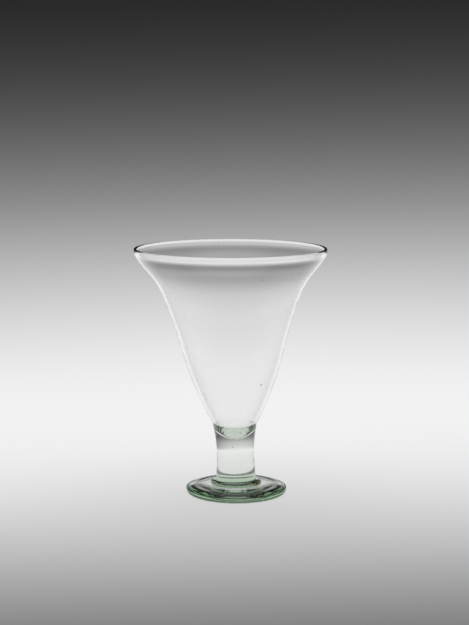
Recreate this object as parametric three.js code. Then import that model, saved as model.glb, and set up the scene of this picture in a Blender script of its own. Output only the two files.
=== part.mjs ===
// Stemmed glass cup, blown and worked hot, in four pieces that the glassmaker joined.
// Millimetres, +Z up, with the foot's resting face on Z = 0 and the foot's centre at the origin.
import * as THREE from 'three';

// Driving dimensions of the whole cup
const CUP_HEIGHT = 129;
const RIM_RADIUS = 50;
const RIM_OFFSET = 3.1; // the hand-made cup leans, so its level rim stands this far towards -X
const CREASE_HEIGHT = 36.7; // where the stem's glass ends on the bowl
const CREASE_RADIUS = 11.5;

// Bowl
const BOWL_WALL = 1.35;
const LIP_ROUND = 0.6; // height of the rounding that the fire gave the lip
const BULB_FLOOR = 2.4; // glass under the cavity
const CAVITY_DIP = 8; // depth of the cavity's narrow round end

// Stem
const STEM_WAIST_RADIUS = 9.66;
const STEM_BASE_RADIUS = 10.6;
const SOCKET_WALL = 1;
const SEAT_GAP = 0.25; // room between the bowl's round bottom and the socket that holds it

// Collar and foot
const COLLAR_OVERHANG = 2.6;
const COLLAR_THICKNESS = 1.85;
const COLLAR_UNDERCUT = 0.1; // how far the collar turns in again below its widest ring
const FOOT_RADIUS = 26.3;
const FOOT_EDGE_ROUND = 1.8; // how far in the rounding of the foot's edge reaches
const FOOT_EDGE_THICKNESS = 3.75;
const FOOT_RISE = 1.15; // how much thicker the foot is under the collar than at its edge

// Outer wall of the bowl: share of the height from crease to lip, share of the rim's radius
const BOWL_WALL_SHARES = [
  [0.05, 0.277],
  [0.13, 0.345],
  [0.226, 0.416],
  [0.32, 0.476],
  [0.41, 0.523],
  [0.5, 0.566],
  [0.6, 0.623],
  [0.7, 0.689],
  [0.78, 0.745],
  [0.825, 0.79],
  [0.87, 0.852],
  [0.914, 0.92],
  [0.95, 0.967],
  [0.98, 0.998],
];
// Thickness of the bowl: share of the height from crease to lip, share of the plain wall
const BOWL_THICKNESS_SHARES = [
  [0, 1.33],
  [0.06, 1.23],
  [0.15, 1.15],
  [0.3, 1.03],
  [0.5, 0.98],
  [0.84, 1.01],
  [0.885, 1.06],
  [0.92, 1.22],
  [0.965, 1.39],
  [0.98, 1.45],
  [1, 1.34],
];
// Side of the stem: share of its height, share of the swell from the waist to that end
const STEM_SWELL_SHARES = [
  [0, 1],
  [0.1, 0.65],
  [0.25, 0.33],
  [0.4, 0.04],
  [0.48, 0],
  [0.57, 0.08],
  [0.65, 0.19],
  [0.72, 0.31],
  [0.8, 0.53],
  [0.92, 0.875],
  [1, 1],
];
const WAIST_SHARE = 0.48; // height of the stem's waist
const COLLAR_RING_SHARE = 0.32; // height of the collar's widest ring
const CROWN_POWER = 2; // how the foot's top falls away, gently and then faster, to its edge

// Fineness of the faceted surfaces
const SIDES = 48;
const STEPS = { arc: 6, wall: 18, stem: 10, crown: 5 };

const footTop = FOOT_EDGE_THICKNESS + FOOT_RISE;
const stemBottom = footTop + COLLAR_THICKNESS;
const collarRadius = STEM_BASE_RADIUS + COLLAR_OVERHANG;
const collarSeat = collarRadius - COLLAR_UNDERCUT;
const bulbRadius = CREASE_RADIUS - SOCKET_WALL - SEAT_GAP;
const lipMiddle = CUP_HEIGHT - LIP_ROUND;
const lipAcross = (BOWL_WALL * BOWL_THICKNESS_SHARES.at(-1)[1]) / 2;

// Points of an elliptic arc about (r, z), from one angle to another
function arc(r, z, radiusAcross, radiusUp, from, to) {
  return Array.from({ length: STEPS.arc + 1 }, (_, i) => {
    const angle = THREE.MathUtils.lerp(from, to, i / STEPS.arc);
    return new THREE.Vector2(r + radiusAcross * Math.cos(angle), z + radiusUp * Math.sin(angle));
  });
}

// Value at a share of the height, on the straight lines between a table's rows
function between(shares, at) {
  const next = Math.max(1, shares.findIndex(([height]) => height >= at));
  const [low, high] = [shares[next - 1], shares[next]];
  return THREE.MathUtils.mapLinear(at, low[0], high[0], low[1], high[1]);
}

// Turns a half outline, from the axis round to the axis, into a solid that leans with the cup
function turned(name, outline, material) {
  const onAxis = outline.map((p, i) => (i === 0 || i === outline.length - 1 ? p.clone().setX(0) : p));
  const geometry = new THREE.LatheGeometry(onAxis, SIDES).rotateX(Math.PI / 2);
  const lean = -RIM_OFFSET / CUP_HEIGHT;
  geometry.applyMatrix4(new THREE.Matrix4().makeShear(0, 0, 0, 0, lean, 0));
  const mesh = new THREE.Mesh(geometry, new THREE.MeshStandardMaterial(material));
  mesh.name = name;
  return mesh;
}

// Outer side of the bowl from the crease to the lip, and its inner side, a wall's thickness square to it
function bowlWall() {
  const height = lipMiddle - CREASE_HEIGHT;
  const place = (share) => CREASE_HEIGHT + share * height;
  const stations = BOWL_WALL_SHARES.map(([h, r]) => new THREE.Vector2(r * RIM_RADIUS, place(h)));
  const start = new THREE.Vector2(CREASE_RADIUS, CREASE_HEIGHT);
  const end = new THREE.Vector2(RIM_RADIUS, lipMiddle);
  const curve = new THREE.SplineCurve([start, ...stations, end]);
  const outer = curve.getPoints(STEPS.wall);
  const inner = outer.slice(0, -1).map((p, i) => {
    const along = curve.getTangent(i / STEPS.wall);
    const wall = BOWL_WALL * between(BOWL_THICKNESS_SHARES, (p.y - CREASE_HEIGHT) / height);
    return new THREE.Vector2(p.x - wall * along.y, p.y + wall * along.x);
  });
  return { outer, inner: inner.filter((p) => p.y < lipMiddle) };
}

const { outer, inner } = bowlWall();
const neck = inner[0]; // where the wall meets the cavity's round end
const bulbDepth = CREASE_HEIGHT - (neck.y - CAVITY_DIP - BULB_FLOOR);

// Blown bowl: a flaring wall with a rounded lip, and a round bottom that sits in the stem
function bowl() {
  const bottom = arc(0, CREASE_HEIGHT, bulbRadius, bulbDepth, -Math.PI / 2, 0);
  const rim = arc(RIM_RADIUS - lipAcross, lipMiddle, lipAcross, LIP_ROUND, 0, Math.PI);
  const cavity = Array.from({ length: STEPS.arc }, (_, i) => {
    const across = 1 - (i + 1) / STEPS.arc;
    return new THREE.Vector2(neck.x * across, neck.y - CAVITY_DIP * (1 - across ** 2));
  });
  const outline = [...bottom, ...outer, ...rim.slice(1), ...inner.toReversed(), ...cavity];
  return turned('bowl', outline, { color: 0xdfe8de, roughness: 0.05, transparent: true, opacity: 0.4 });
}

// Solid stem, drawn to a waist, with a socket in its top
function stem() {
  const length = CREASE_HEIGHT - stemBottom;
  const swells = STEM_SWELL_SHARES.map(([h, swell]) => {
    const end = h < WAIST_SHARE ? STEM_BASE_RADIUS : CREASE_RADIUS;
    return new THREE.Vector2(THREE.MathUtils.lerp(STEM_WAIST_RADIUS, end, swell), stemBottom + h * length);
  });
  const side = new THREE.SplineCurve(swells).getPoints(STEPS.stem);
  const socket = arc(0, CREASE_HEIGHT, bulbRadius + SEAT_GAP, bulbDepth + SEAT_GAP, 0, -Math.PI / 2);
  const outline = [new THREE.Vector2(0, stemBottom), ...side, ...socket];
  return turned('stem', outline, { color: 0xcfdccb, roughness: 0.05, transparent: true, opacity: 0.5 });
}

// Low collar pressed out between the stem and the foot
function footCollar() {
  const ring = footTop + COLLAR_RING_SHARE * COLLAR_THICKNESS;
  const below = arc(collarSeat, ring, COLLAR_UNDERCUT, ring - footTop, -Math.PI / 2, 0);
  const above = arc(STEM_BASE_RADIUS, ring, COLLAR_OVERHANG, stemBottom - ring, 0, Math.PI / 2);
  const [low, high] = [new THREE.Vector2(0, footTop), new THREE.Vector2(0, stemBottom)];
  const outline = [low, ...below, ...above.slice(1), high];
  const finish = { color: 0x9db596, roughness: 0.05, transparent: true, opacity: 0.6 };
  return turned('foot_collar', outline, finish);
}

// Thick disc foot with a crowned top, a rounded edge and a flat underside
function foot() {
  const half = FOOT_EDGE_THICKNESS / 2;
  const edgeStart = FOOT_RADIUS - FOOT_EDGE_ROUND;
  const edge = arc(edgeStart, half, FOOT_EDGE_ROUND, half, -Math.PI / 2, Math.PI / 2);
  const crown = Array.from({ length: STEPS.crown }, (_, i) => {
    const out = 1 - (i + 1) / STEPS.crown;
    const radius = THREE.MathUtils.lerp(collarSeat, edgeStart, out);
    return new THREE.Vector2(radius, footTop - FOOT_RISE * out ** CROWN_POWER);
  });
  const outline = [new THREE.Vector2(0, 0), ...edge, ...crown, new THREE.Vector2(0, footTop)];
  return turned('foot', outline, { color: 0x7f9c78, roughness: 0.08, transparent: true, opacity: 0.7 });
}

const cup = new THREE.Group();
cup.add(bowl(), stem(), footCollar(), foot());

export default cup;
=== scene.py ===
"""A stemmed glass cup, blown and worked hot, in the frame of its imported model. Metres, +Z up."""
import math

import bpy
import numpy as np
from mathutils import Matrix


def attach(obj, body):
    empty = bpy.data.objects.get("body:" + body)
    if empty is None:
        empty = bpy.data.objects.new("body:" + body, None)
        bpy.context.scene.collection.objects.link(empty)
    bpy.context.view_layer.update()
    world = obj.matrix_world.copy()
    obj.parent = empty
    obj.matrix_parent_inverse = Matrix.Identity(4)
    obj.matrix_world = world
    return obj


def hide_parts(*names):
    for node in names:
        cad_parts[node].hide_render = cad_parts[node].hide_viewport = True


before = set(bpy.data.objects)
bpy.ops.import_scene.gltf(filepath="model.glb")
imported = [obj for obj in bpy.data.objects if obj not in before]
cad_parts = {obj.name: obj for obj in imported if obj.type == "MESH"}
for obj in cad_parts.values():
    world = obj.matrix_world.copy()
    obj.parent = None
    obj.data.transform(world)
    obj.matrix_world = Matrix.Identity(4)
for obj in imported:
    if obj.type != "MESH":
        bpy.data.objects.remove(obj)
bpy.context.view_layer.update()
scene = bpy.context.scene

# Camera and view. A long lens stands above the rim, eight and a half times the mouth's width away, and looks
# slightly down at the cup, whose foot is just right of the picture's middle.
MM = 0.001
EYE_DISTANCE = 850 * MM
EYE_HEIGHT = 214.2 * MM
EYE_ASIDE = -1.0 * MM
EYE_PITCH = 7.963
LENS = 95.25
NEAR_END, FAR_END = 0.01, 20
GLASS_BOUNCES = 32
GLOSS_BOUNCES = 16
camera = bpy.data.objects.new("camera", bpy.data.cameras.new("camera"))
camera.data.lens = LENS
camera.data.clip_start, camera.data.clip_end = NEAR_END, FAR_END
camera.location = (EYE_ASIDE, -EYE_DISTANCE, EYE_HEIGHT)
camera.rotation_euler = (math.radians(90 - EYE_PITCH), 0, 0)
scene.collection.objects.link(camera)
scene.camera = camera
scene.view_settings.view_transform = "Standard"
scene.cycles.max_bounces = GLASS_BOUNCES
scene.cycles.transmission_bounces = GLASS_BOUNCES
scene.cycles.transparent_max_bounces = GLASS_BOUNCES
scene.cycles.glossy_bounces = GLOSS_BOUNCES


# Bowl. One blown bubble of nearly colourless glass with a faint green cast, opened to a flaring mouth whose
# lip was rounded in the fire. Its thick round bottom, where the cavity ends, is fused into the stem, and
# small seeds of air are caught in its wall.
def spline(at, values, where):
    """Natural cubic spline through (at, values), read at where: its bends solve a three-diagonal system."""
    at, values = np.asarray(at, float), np.asarray(values, float)
    gap, slope = np.diff(at), np.diff(values) / np.diff(at)
    count = len(at)
    system, right = np.eye(count), np.zeros(count)
    inner = np.arange(1, count - 1)
    system[inner, inner - 1], system[inner, inner + 1] = gap[:-1], gap[1:]
    system[inner, inner] = 2 * (gap[:-1] + gap[1:])
    right[inner] = 6 * np.diff(slope)
    bend = np.linalg.solve(system, right)
    i = np.clip(np.searchsorted(at, where) - 1, 0, count - 2)
    t = where - at[i]
    tangent = slope[i] - gap[i] * (2 * bend[i] + bend[i + 1]) / 6
    return values[i] + t * (tangent + t * (bend[i] / 2 + t * (bend[i + 1] - bend[i]) / (6 * gap[i])))


def arc(r, z, across, up, start, end, count):
    """Elliptic arc about (r, z): (r + across cos a, z + up sin a), with a in degrees from start to end."""
    a = np.radians(np.linspace(start, end, count))
    return np.stack([r + across * np.cos(a), z + up * np.sin(a)], 1)


def revolve(outline, sides):
    """Closed surface (r cos a, r sin a, z) of a half outline from axis to axis: quads and two fans."""
    r, z = outline[1:-1].T
    a = np.arange(sides) * 2 * math.pi / sides
    rings = np.stack([r[:, None] * np.cos(a), r[:, None] * np.sin(a), np.repeat(z[:, None], sides, 1)], 2)
    poles = [(0, 0, outline[0][1]), (0, 0, outline[-1][1])]
    j, i = np.meshgrid(np.arange(sides), np.arange(len(r) - 1))
    k = (j + 1) % sides
    corners = [i * sides + j, i * sides + k, (i + 1) * sides + k, (i + 1) * sides + j]
    quads = np.stack(corners, 2).reshape(-1, 4)
    around = np.arange(sides)
    onward = (around + 1) % sides
    last = (len(r) - 1) * sides
    first_fan = np.stack([np.full(sides, last + sides), onward, around], 1)
    last_fan = np.stack([np.full(sides, last + sides + 1), last + around, last + onward], 1)
    return np.concatenate([rings.reshape(-1, 3), poles]), quads, np.concatenate([first_fan, last_fan])


SEED_RINGS, SEED_SIDES = 9, 12


def seeds(rows, radius_at, inset):
    """Air seeds as ellipsoids turned inside out, at (height, bearing) and inset from the outer side.

    A row is height, bearing in degrees, radius and stretch along the height; lengths are in mm.
    """
    ball, quads, fans = revolve(arc(0, 0, 1, 1, -90, 90, SEED_RINGS), SEED_SIDES)
    height, bearing, size, stretch = np.array(rows).T
    away = radius_at(height * MM) - inset
    a = np.radians(bearing)
    centre = np.stack([away * np.cos(a), away * np.sin(a), height * MM], 1)
    scale = np.stack([size, size, size * stretch], 1) * MM
    points = centre[:, None] + ball[None] * scale[:, None]
    start = np.arange(len(rows))[:, None, None] * len(ball)
    return (points.reshape(-1, 3), (quads[None, :, ::-1] + start).reshape(-1, 4),
            (fans[None, :, ::-1] + start).reshape(-1, 3))


HEIGHT = 129 * MM
RIM_OFFSET = 3.1 * MM
SIDES = 256


def turned(name, runs, node, material, air=None):
    """Piece revolved from runs of (points, welded) and sheared by the cup's lean, x - RIM_OFFSET z / HEIGHT.

    Faces of welded runs lie against the next piece and carry 1 in the face attribute "welded". All faces are
    smooth, and the edges between welded and free faces are sharp.
    """
    points = np.concatenate([runs[0][0]] + [run[1:] for run, _ in runs[1:]])
    marks = np.concatenate([np.full(len(run) - 1, float(welded)) for run, welded in runs])
    vertices, quads, fans = revolve(points, SIDES)
    face_marks = np.concatenate([np.repeat(marks[1:-1], SIDES), np.repeat(marks[[0, -1]], SIDES)])
    faces = quads.tolist() + fans.tolist()
    if air:
        spots, spot_quads, spot_fans = air
        faces += (spot_quads + len(vertices)).tolist() + (spot_fans + len(vertices)).tolist()
        face_marks = np.concatenate([face_marks, np.zeros(len(spot_quads) + len(spot_fans))])
        vertices = np.concatenate([vertices, spots])
    vertices[:, 0] -= RIM_OFFSET * vertices[:, 2] / HEIGHT
    mesh = bpy.data.meshes.new(name)
    mesh.from_pydata(vertices.tolist(), [], faces)
    mesh.attributes.new("welded", "FLOAT", "FACE").data.foreach_set("value", face_marks)
    mesh.polygons.foreach_set("use_smooth", np.ones(len(faces), bool))
    mesh.update()
    edges, corners = np.zeros(len(mesh.loops), np.int32), np.zeros(len(faces), np.int32)
    mesh.loops.foreach_get("edge_index", edges)
    mesh.polygons.foreach_get("loop_total", corners)
    beside = np.bincount(edges, np.repeat(face_marks, corners), len(mesh.edges))
    mesh.attributes.new("sharp_edge", "BOOLEAN", "EDGE").data.foreach_set("value", beside == 1)
    mesh.materials.append(material)
    piece = bpy.data.objects.new(name, mesh)
    scene.collection.objects.link(piece)
    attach(piece, "root")
    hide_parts(node)


def math_node(tree, operation, *values):
    """A Math node of the tree on sockets or plain numbers."""
    node = tree.nodes.new("ShaderNodeMath")
    node.operation = operation
    for socket, value in zip(node.inputs, values):
        if isinstance(value, (int, float)):
            socket.default_value = value
        else:
            tree.links.new(value, socket)
    return node.outputs[0]


def ramp(tree, value, start, end, low=0.0, high=1.0):
    """Goes smoothly from low at start to high at end."""
    node = tree.nodes.new("ShaderNodeMapRange")
    node.interpolation_type = "SMOOTHSTEP"
    node.inputs["From Min"].default_value, node.inputs["From Max"].default_value = start, end
    node.inputs["To Min"].default_value, node.inputs["To Max"].default_value = low, high
    tree.links.new(value, node.inputs["Value"])
    return node.outputs["Result"]


GLASS_INDEX = 1.5
# Glass seen edge on gets painted shade between these facings, standing in for the dark room it mirrors
# there.
EDGE_FACING = (0.86, 0.99)
RIPPLE_SCALE = (55, 55, 210)
RIPPLE_HEIGHT = 0.012 * MM
HAZE_SCALE = 140
HAZE_DETAIL = 3
HAZE_PATCH = (0.56, 0.72)
HAZE_ROUGHNESS = 0.035


def glass(name, tint, density, edge_shade, ripple=1.0):
    """Clear glass coloured by its depth, with painted shade that darkens it where it is seen edge on, and
    with faint ripples and patches of haze.

    Welded faces have an index of 1 and bend no light, so neighbouring pieces read as one body of glass.
    """
    material = bpy.data.materials.new(name)
    material.use_nodes = True
    tree = material.node_tree
    nodes, links = tree.nodes, tree.links
    shader = nodes["Principled BSDF"]
    shader.inputs["Transmission Weight"].default_value = 1
    welded = nodes.new("ShaderNodeAttribute")
    welded.attribute_name = "welded"
    lost = math_node(tree, "MULTIPLY", welded.outputs["Fac"], GLASS_INDEX - 1)
    links.new(math_node(tree, "SUBTRACT", GLASS_INDEX, lost), shader.inputs["IOR"])
    free = math_node(tree, "SUBTRACT", 1, welded.outputs["Fac"])
    # Painted shade: the colour darkens towards the edge shade where the glass is seen edge on, except on
    # welded faces.
    facing = nodes.new("ShaderNodeLayerWeight").outputs["Facing"]
    dimmed = math_node(tree, "SUBTRACT", 1, ramp(tree, facing, *EDGE_FACING, 1, edge_shade))
    shaded_colour = math_node(tree, "SUBTRACT", 1, math_node(tree, "MULTIPLY", dimmed, free))
    links.new(shaded_colour, shader.inputs["Base Color"])
    place = nodes.new("ShaderNodeTexCoord").outputs["Object"]
    stretch = nodes.new("ShaderNodeMapping")
    stretch.inputs["Scale"].default_value = RIPPLE_SCALE
    links.new(place, stretch.inputs["Vector"])
    waves = nodes.new("ShaderNodeTexNoise")
    waves.inputs["Scale"].default_value = 1
    waves.inputs["Detail"].default_value = 1
    links.new(stretch.outputs["Vector"], waves.inputs["Vector"])
    bump = nodes.new("ShaderNodeBump")
    bump.inputs["Distance"].default_value = RIPPLE_HEIGHT * ripple
    links.new(waves.outputs["Fac"], bump.inputs["Height"])
    links.new(bump.outputs["Normal"], shader.inputs["Normal"])
    patches = nodes.new("ShaderNodeTexNoise")
    patches.inputs["Scale"].default_value = HAZE_SCALE
    patches.inputs["Detail"].default_value = HAZE_DETAIL
    links.new(place, patches.inputs["Vector"])
    haze = ramp(tree, patches.outputs["Fac"], *HAZE_PATCH, 0, HAZE_ROUGHNESS)
    links.new(math_node(tree, "MULTIPLY", haze, free), shader.inputs["Roughness"])
    depth = nodes.new("ShaderNodeVolumeAbsorption")
    depth.inputs["Color"].default_value = (*tint, 1)
    depth.inputs["Density"].default_value = density
    links.new(depth.outputs["Volume"], nodes["Material Output"].inputs["Volume"])
    return material


CREASE = 36.7 * MM
CREASE_RADIUS = 11.5 * MM
RIM_RADIUS = 50 * MM
LIP_ROUND = 0.7 * MM
LIP_CLEAR = 0.05 * MM
CAVITY_DIP = 8.0 * MM
BULB_RADIUS = 10.8 * MM
BULB_DEPTH = 10.4 * MM
WELD = 0.02 * MM
WALL_HEIGHTS = (0, 0.05, 0.13, 0.226, 0.32, 0.41, 0.5, 0.6, 0.7, 0.78, 0.825, 0.87, 0.914, 0.95, 0.98, 1)
WALL_RADII = (0.23, 0.277, 0.345, 0.416, 0.476, 0.523, 0.566, 0.623, 0.689, 0.7452, 0.7904, 0.8521, 0.9199,
              0.9672, 0.9981, 1)
# The wall's thickness in mm is a guess from the bands of light in the photo.
THICKNESS_HEIGHTS = (0, 0.06, 0.15, 0.3, 0.5, 0.68, 0.78, 0.84, 0.885, 0.92, 0.945, 0.965, 0.98, 0.992, 1)
THICKNESS = (1.8, 1.67, 1.56, 1.38, 1.2, 1.06, 0.98, 1.0, 1.12, 1.28, 1.41, 1.52, 1.56, 1.5, 1.42)
WALL_STEPS, CAVITY_STEPS, ARC_STEPS, LEDGE_STEPS = 130, 40, 24, 3
BOWL_TINT = (0.90, 0.97, 0.90)
BOWL_DENSITY = 20
BOWL_EDGE_SHADE = 0.55
SEED_INSET = 0.52 * MM
BOWL_SEEDS = (
    (116.8, -68.2, 0.38, 1), (115.8, -44.4, 0.34, 1), (126.1, 97.8, 0.3, 1), (96.2, -136.7, 0.28, 1),
    (97, -25.1, 0.25, 1), (78.9, -149.6, 0.28, 1.2), (71.8, -126.2, 0.24, 1), (62.9, -135.2, 0.24, 1),
    (54.4, -141.3, 0.24, 2.2), (52, -141.6, 0.2, 2), (60.2, -49, 0.42, 1), (39.6, -49.5, 0.41, 1),
    (108, 20, 0.24, 1), (88, 60, 0.2, 1.3), (101, 128, 0.2, 1), (66, 35, 0.22, 1), (74, 170, 0.24, 1.5),
    (120, -10, 0.2, 1), (112, -160, 0.24, 1), (49, 100, 0.2, 1.4), (83, -75, 0.16, 1), (92, 88, 0.2, 1),
)
lip_middle = HEIGHT - LIP_ROUND
share = np.linspace(0, 1, WALL_STEPS)
outer = spline(WALL_HEIGHTS, WALL_RADII, share) * RIM_RADIUS
height = CREASE + share * (lip_middle - CREASE)
slope = np.gradient(outer, height)
slope[-1] = 0
wall = spline(THICKNESS_HEIGHTS, THICKNESS, share) * MM
inner = outer - wall / np.sqrt(1 + slope ** 2)
inner_height = height + wall * slope / np.sqrt(1 + slope ** 2)
inside = np.stack([inner, inner_height], 1)[inner_height < lip_middle - LIP_CLEAR]
lip = (RIM_RADIUS - inside[-1, 0]) / 2
across = np.linspace(1, 0, CAVITY_STEPS)
cavity = np.stack([inside[0, 0] * across, inside[0, 1] - CAVITY_DIP * (1 - across ** 2)], 1)
turned("blown_bowl", [
    (arc(0, CREASE, BULB_RADIUS, BULB_DEPTH, -90, 0, ARC_STEPS), True),
    (np.linspace((BULB_RADIUS, CREASE), (CREASE_RADIUS, CREASE), LEDGE_STEPS), True),
    (np.stack([outer, height], 1), False),
    (arc(RIM_RADIUS - lip, lip_middle, lip, LIP_ROUND, 0, 180, ARC_STEPS), False),
    (inside[::-1], False),
    (cavity, False),
], "bowl", glass("bowl_glass", BOWL_TINT, BOWL_DENSITY, BOWL_EDGE_SHADE),
    seeds(BOWL_SEEDS, lambda z: np.interp(z, height, outer), SEED_INSET))


# Stem. A solid bit of the same glass, welded round the bowl's bottom and drawn to a waist while it was soft,
# with a few long seeds drawn out along it.
STEM_BASE = 7.0 * MM
STEM_HEIGHTS = (7.1, 10.06, 14.5, 18.94, 21.3, 23.97, 26.34, 28.41, 30.78, 34.33, 36.7)
STEM_RADII = (10.47, 10.27, 9.97, 9.79, 9.69, 9.81, 10.0, 10.2, 10.5, 11.1, 11.5)
STEM_STEPS, DISC_STEPS = 60, 6
STEM_TINT = (0.83, 0.91, 0.82)
STEM_DENSITY = 20
STEM_EDGE_SHADE = 0.3
STEM_SEED_INSET = 1.2 * MM
STEM_SEEDS = (
    (25.9, -98.5, 0.36, 0.6), (20.1, -145, 0.15, 1.4), (21.6, -78.4, 0.14, 1.2), (16, -70, 0.14, 1.5),
    (14, 60, 0.14, 2), (27, 30, 0.15, 1.5), (18, 170, 0.14, 2),
)
stem_top = CREASE - WELD
socket_radius = BULB_RADIUS + WELD
height = np.linspace(STEM_BASE, stem_top, STEM_STEPS)
side = spline(STEM_HEIGHTS, STEM_RADII, height / MM) * MM
stem_foot = side[0]
turned("drawn_stem", [
    (np.linspace((0, STEM_BASE), (stem_foot, STEM_BASE), DISC_STEPS), True),
    (np.stack([side, height], 1), False),
    (np.linspace((CREASE_RADIUS, stem_top), (socket_radius, stem_top), LEDGE_STEPS), True),
    (arc(0, stem_top, socket_radius, BULB_DEPTH, 0, -90, ARC_STEPS), True),
], "stem", glass("stem_glass", STEM_TINT, STEM_DENSITY, STEM_EDGE_SHADE),
    seeds(STEM_SEEDS, lambda z: np.interp(z, height, side), STEM_SEED_INSET))


# Collar. A low ring of glass pressed out between the stem and the foot when the two were joined. Rust from
# the ground has stained it brown at one side. Its green is set about six times as strong as the stem's to
# match the photo, though the real cup is probably of one glass.
COLLAR_BASE = 5.2 * MM
COLLAR_RING = 5.54 * MM
COLLAR_RADIUS = 13.12 * MM
COLLAR_SEAT = 13.18 * MM
BELOW_STEPS = 16
GREEN_TINT = (0.812, 0.894, 0.812)
COLLAR_DENSITY = 111
COLLAR_EDGE_SHADE = 0.4
CALM_RIPPLE = 0.4
STAIN = (0.3, 0.12, 0.05)
STAIN_PLACE = (12.2 * MM, -6.0 * MM, 5.3 * MM)
STAIN_REACH = (3.2 * MM, 5.6 * MM)
MOTTLE_SCALE = 500
MOTTLE_PATCH = (0.35, 0.6)
MOTTLE_LEAST = 0.35
collar_top = STEM_BASE - WELD
collar_glass = glass("collar_glass", GREEN_TINT, COLLAR_DENSITY, COLLAR_EDGE_SHADE, CALM_RIPPLE)
tree = collar_glass.node_tree
nodes, links = tree.nodes, tree.links
place = nodes["Texture Coordinate"].outputs["Object"]
away = nodes.new("ShaderNodeVectorMath")
away.operation = "DISTANCE"
away.inputs[1].default_value = STAIN_PLACE
links.new(place, away.inputs[0])
mottle = nodes.new("ShaderNodeTexNoise")
mottle.inputs["Scale"].default_value = MOTTLE_SCALE
links.new(place, mottle.inputs["Vector"])
cover = math_node(tree, "MULTIPLY", ramp(tree, away.outputs["Value"], *STAIN_REACH, 1, 0),
                  ramp(tree, mottle.outputs["Fac"], *MOTTLE_PATCH, MOTTLE_LEAST, 1))
colour = nodes["Principled BSDF"].inputs["Base Color"]
blend = nodes.new("ShaderNodeMix")
blend.data_type = "RGBA"
links.new(cover, blend.inputs["Factor"])
links.new(colour.links[0].from_socket, blend.inputs["A"])
blend.inputs["B"].default_value = (*STAIN, 1)
links.new(blend.outputs["Result"], colour)
below = arc(COLLAR_SEAT, COLLAR_RING, COLLAR_RADIUS - COLLAR_SEAT, COLLAR_RING - COLLAR_BASE, -90, 0,
            BELOW_STEPS)
above = arc(stem_foot, COLLAR_RING, COLLAR_RADIUS - stem_foot, collar_top - COLLAR_RING, 0, 90, ARC_STEPS)
turned("pressed_collar", [
    (np.linspace((0, COLLAR_BASE), (COLLAR_SEAT, COLLAR_BASE), DISC_STEPS), True),
    (np.concatenate([below, above[1:]]), False),
    (np.linspace((stem_foot, collar_top), (0, collar_top), DISC_STEPS), True),
], "foot_collar", collar_glass)


# Foot. A thick disc of glass with a gently crowned top, a rounded edge and a slight hollow beneath, in the
# collar's strong green. Its section can't be seen from outside and is a guess from the bands of light.
FOOT_RADIUS = 26.3 * MM
EDGE_MIDDLE = 2.6 * MM
EDGE_ROUND = 2.65 * MM
REST_ROUND = 1.54 * MM
REST_WIDTH = 0.3 * MM
CROWN_RADII = (13.2, 15.5, 17.5, 19.5, 21.5, 24.0)
CROWN_SLOPES = (-0.5, 0.9, 3.4, 8.8, 9.2, 16.1)
HOLLOW_RADII = (6.0, 12.0, 16.0, 19.0, 21.5, 23.5)
HOLLOW_SLOPES = (-0.5, 0.5, 2.0, 7.0, 9.5, 0.0)
LEVEL_RADIUS = 6 * MM
FIRST_LEAN, LEAN_ROUNDS = 78, 6
CROWN_STEPS, HOLLOW_STEPS = 60, 80
FOOT_DENSITY = 111
FOOT_EDGE_SHADE = 0.5
foot_top = COLLAR_BASE - WELD


def falling(radius, stations, slopes):
    """Change of height along the radii: the running sum of tan(slope) times the step.

    The slope is in degrees, on lines between the stations, and goes to nothing inside LEVEL_RADIUS.
    """
    steep = np.tan(np.radians(np.interp(radius / MM, stations, slopes)))
    steep = steep * np.clip(radius / LEVEL_RADIUS, 0, 1)
    return np.concatenate([[0], np.cumsum((steep[1:] + steep[:-1]) / 2 * np.abs(np.diff(radius)))])


# The edge's arc starts where the crown ends, at the crown's last slope. Each round brings the two nearer.
end_slope = math.tan(math.radians(CROWN_SLOPES[-1]))
lean = math.radians(FIRST_LEAN)
for _ in range(LEAN_ROUNDS):
    crown = np.linspace(COLLAR_SEAT, FOOT_RADIUS - EDGE_ROUND * (1 - math.cos(lean)), CROWN_STEPS)
    crown_top = foot_top - falling(crown, CROWN_RADII, CROWN_SLOPES)
    rise = (crown_top[-1] - EDGE_MIDDLE) / math.sin(lean)
    lean = math.atan2(rise, EDGE_ROUND * end_slope)
rest_end = FOOT_RADIUS - REST_ROUND
rest_start = rest_end - REST_WIDTH
hollow = np.linspace(rest_start, 0, HOLLOW_STEPS)
hollow_height = falling(hollow, HOLLOW_RADII, HOLLOW_SLOPES)
turned("disc_foot", [
    (np.stack([hollow, hollow_height], 1)[::-1], False),
    (np.linspace((rest_start, 0), (rest_end, 0), LEDGE_STEPS), False),
    (arc(rest_end, EDGE_MIDDLE, REST_ROUND, EDGE_MIDDLE, -90, 0, ARC_STEPS), False),
    (arc(FOOT_RADIUS - EDGE_ROUND, EDGE_MIDDLE, EDGE_ROUND, rise, 0, math.degrees(lean), ARC_STEPS), False),
    (np.stack([crown, crown_top], 1)[-2::-1], False),
    (np.linspace((COLLAR_SEAT, foot_top), (0, foot_top), DISC_STEPS), True),
], "foot", glass("foot_glass", GREEN_TINT, FOOT_DENSITY, FOOT_EDGE_SHADE, CALM_RIPPLE))


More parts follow.
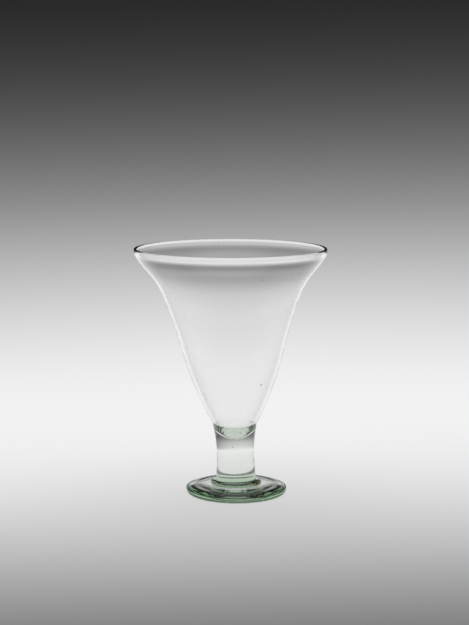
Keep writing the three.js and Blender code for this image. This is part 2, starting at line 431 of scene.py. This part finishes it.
# Floor and backdrop. One pale sweep of card, flat under the cup and curved up far behind it. A soft pool of
# light is painted on it as a fixed glowing pattern, also in its paint's colour, whose bands are laid out by
# the angle below the horizon at the camera's place. A share of the paint takes the cup's shadow.
SWEEP_RADIUS = 2.6
SWEEP_BEND = 0.5
SWEEP_HEIGHT = 2.4
FLOOR_STEPS, BEND_STEPS, BACK_STEPS, STAGE_SIDES = 40, 16, 10, 128
FLOOR_DROP = 0.1 * MM
PAINT_SHARE = 0.15
POOL_LEVEL = 0.875
POOL_ANGLE = 11.5
POOL_RISE = 7.0
POOL_FALL = 6.2
DIM = 0.012
SIDE_TILT = 0.02
FAR_FLOOR = (0.25, 0.6)
NEAR_FLOOR = (0.12, 0.2)
UNDER_GLOW = 0.9
bend = arc(SWEEP_RADIUS - SWEEP_BEND, SWEEP_BEND, SWEEP_BEND, SWEEP_BEND, -90, 0, BEND_STEPS)
flat = np.linspace((0, 0), (SWEEP_RADIUS - SWEEP_BEND, 0), FLOOR_STEPS)
upright = np.linspace((SWEEP_RADIUS, SWEEP_BEND), (SWEEP_RADIUS, SWEEP_HEIGHT), BACK_STEPS)
outline = np.concatenate([flat, bend[1:], upright[1:], upright[-1:]])
vertices, quads, fans = revolve(outline, STAGE_SIDES)
vertices[:, 2] -= FLOOR_DROP
mesh = bpy.data.meshes.new("sweep")
mesh.from_pydata(vertices[:-1].tolist(), [], quads[:, ::-1].tolist() + fans[:STAGE_SIDES, ::-1].tolist())
mesh.polygons.foreach_set("use_smooth", np.ones(len(mesh.polygons), bool))
sweep = bpy.data.objects.new("sweep", mesh)
scene.collection.objects.link(sweep)


def pool(tree, drop, reach, fall):
    """Light by the angle below the horizon, atan(drop / reach).

    It is a bell about POOL_ANGLE, POOL_RISE wide towards the horizon and fall wide on the other side.
    """
    angle = math_node(tree, "DEGREES", math_node(tree, "ARCTAN2", drop, reach))
    off = math_node(tree, "SUBTRACT", angle, POOL_ANGLE)
    below = math_node(tree, "GREATER_THAN", off, 0)
    width = math_node(tree, "SUBTRACT", POOL_RISE, math_node(tree, "MULTIPLY", below, POOL_RISE - fall))
    scaled = math_node(tree, "DIVIDE", off, width)
    square = math_node(tree, "MULTIPLY", scaled, scaled)
    bell = math_node(tree, "EXPONENT", math_node(tree, "MULTIPLY", square, -1))
    return math_node(tree, "ADD", math_node(tree, "MULTIPLY", bell, POOL_LEVEL), DIM)


def length(tree, x, y):
    """Root of x squared plus y squared."""
    squares = [math_node(tree, "MULTIPLY", side, side) for side in (x, y)]
    return math_node(tree, "SQRT", math_node(tree, "ADD", *squares))


def place_parts(tree, space):
    """The three coordinates of a shaded point in the named space."""
    split = tree.nodes.new("ShaderNodeSeparateXYZ")
    tree.links.new(tree.nodes.new("ShaderNodeTexCoord").outputs[space], split.inputs[0])
    return split.outputs


card = bpy.data.materials.new("pale_card")
card.use_nodes = True
tree = card.node_tree
nodes, links = tree.nodes, tree.links
nodes.clear()
x, y, z = place_parts(tree, "Object")
radius = length(tree, x, y)
# Near the cup the bands run straight across, and far off they go round it.
far = ramp(tree, radius, *FAR_FLOOR)
along = math_node(tree, "ADD", y, math_node(tree, "MULTIPLY", math_node(tree, "SUBTRACT", radius, y), far))
tilt = math_node(tree, "MULTIPLY", x, SIDE_TILT)
drop = math_node(tree, "ADD", math_node(tree, "SUBTRACT", EYE_HEIGHT, z), tilt)
level = pool(tree, drop, math_node(tree, "ADD", along, EYE_DISTANCE), POOL_FALL)
paint = nodes.new("ShaderNodeBsdfDiffuse")
glow = nodes.new("ShaderNodeEmission")
# The paint's colour and the glow both carry the painted pool of light.
links.new(level, paint.inputs["Color"])
links.new(level, glow.inputs["Color"])
path = nodes.new("ShaderNodeLightPath")
in_glass = math_node(tree, "MAXIMUM", path.outputs["Is Glossy Ray"], path.outputs["Is Transmission Ray"])
seen = math_node(tree, "MAXIMUM", path.outputs["Is Camera Ray"], in_glass)
# Under the foot the card glows a little more: painted light in place of the lamp's light that the glass
# holds back.
under = math_node(tree, "MULTIPLY", math_node(tree, "LESS_THAN", radius, rest_end), UNDER_GLOW)
own_light = math_node(tree, "MULTIPLY", seen, math_node(tree, "MAXIMUM", under, 1 - PAINT_SHARE))
mix = nodes.new("ShaderNodeMixShader")
links.new(own_light, mix.inputs[0])
links.new(paint.outputs[0], mix.inputs[1])
links.new(glow.outputs[0], mix.inputs[2])
# Past the near floor the glass sees the room's light instead of the card.
clear = nodes.new("ShaderNodeBsdfTransparent")
ends = nodes.new("ShaderNodeMixShader")
links.new(math_node(tree, "MULTIPLY", in_glass, ramp(tree, radius, *NEAR_FLOOR)), ends.inputs[0])
links.new(mix.outputs[0], ends.inputs[1])
links.new(clear.outputs[0], ends.inputs[2])
links.new(ends.outputs[0], nodes.new("ShaderNodeOutputMaterial").inputs["Surface"])
mesh.materials.append(card)


# Room. Its light follows the same bell, much wider below, so that the glass mirrors and bends a bright
# lower half, and a soft round of light stands straight overhead.
ROOM_FALL = 40
TOP_LIGHT = 0.55
TOP_SPREAD = 29
TOP_BLUR = (0.08, 0.04)
world = bpy.data.worlds.new("studio")
scene.world = world
world.use_nodes = True
tree = world.node_tree
x, y, z = place_parts(tree, "Generated")
level = pool(tree, math_node(tree, "MULTIPLY", z, -1), length(tree, x, y), ROOM_FALL)
brink = math.cos(math.radians(TOP_SPREAD))
overhead = ramp(tree, z, brink - TOP_BLUR[0], brink + TOP_BLUR[1], 0, TOP_LIGHT)
light = math_node(tree, "ADD", level, overhead)
tree.links.new(light, tree.nodes["Background"].inputs["Color"])


# Ring card. A low ring of card that glows white stands round the cup, and only what mirrors it sees it: it
# lights the collar's and the foot's faces, which are seen almost edge on.
RING_RADIUS = 300 * MM
RING_LIGHT = 1.0
RING_RISE = (8, 17)
RING_BLUR = 0.25
ring_low, ring_high = RING_RADIUS * np.tan(np.radians(RING_RISE))
outline = np.array([(0, ring_low), (RING_RADIUS, ring_low), (RING_RADIUS, ring_high), (0, ring_high)])
vertices, quads, _ = revolve(outline, STAGE_SIDES)
mesh = bpy.data.meshes.new("ring_card")
mesh.from_pydata(vertices[:-2].tolist(), [], quads.tolist())
ring_card = bpy.data.objects.new("ring_card", mesh)
scene.collection.objects.link(ring_card)
card = bpy.data.materials.new("ring_light")
card.use_nodes = True
tree = card.node_tree
nodes, links = tree.nodes, tree.links
nodes.clear()
z = place_parts(tree, "Object")["Z"]
soft = RING_BLUR * (ring_high - ring_low)
shape = math_node(tree, "MULTIPLY", ramp(tree, z, ring_low, ring_low + soft),
                  ramp(tree, z, ring_high - soft, ring_high, 1, 0))
path = nodes.new("ShaderNodeLightPath")
mirrored = math_node(tree, "MULTIPLY", path.outputs["Is Glossy Ray"],
                     math_node(tree, "SUBTRACT", 1, path.outputs["Is Transmission Ray"]))
glow = nodes.new("ShaderNodeEmission")
glow.inputs["Strength"].default_value = RING_LIGHT
mix = nodes.new("ShaderNodeMixShader")
links.new(math_node(tree, "MULTIPLY", mirrored, shape), mix.inputs[0])
links.new(nodes.new("ShaderNodeBsdfTransparent").outputs[0], mix.inputs[1])
links.new(glow.outputs[0], mix.inputs[2])
links.new(mix.outputs[0], nodes.new("ShaderNodeOutputMaterial").inputs["Surface"])
mesh.materials.append(card)


# Lamp. A large soft light hangs above and a little behind the cup, and casts the cup's faint shadow on the
# card. The glass doesn't show it.
LAMP_SIZE = 2
LAMP_PLACE = (0, 0.3, 1.8)
LAMP_POWER = 38
lamp = bpy.data.objects.new("soft_lamp", bpy.data.lights.new("soft_lamp", "AREA"))
lamp.data.size = LAMP_SIZE
lamp.data.energy = LAMP_POWER
lamp.location = LAMP_PLACE
lamp.visible_glossy = False
lamp.visible_transmission = False
scene.collection.objects.link(lamp)
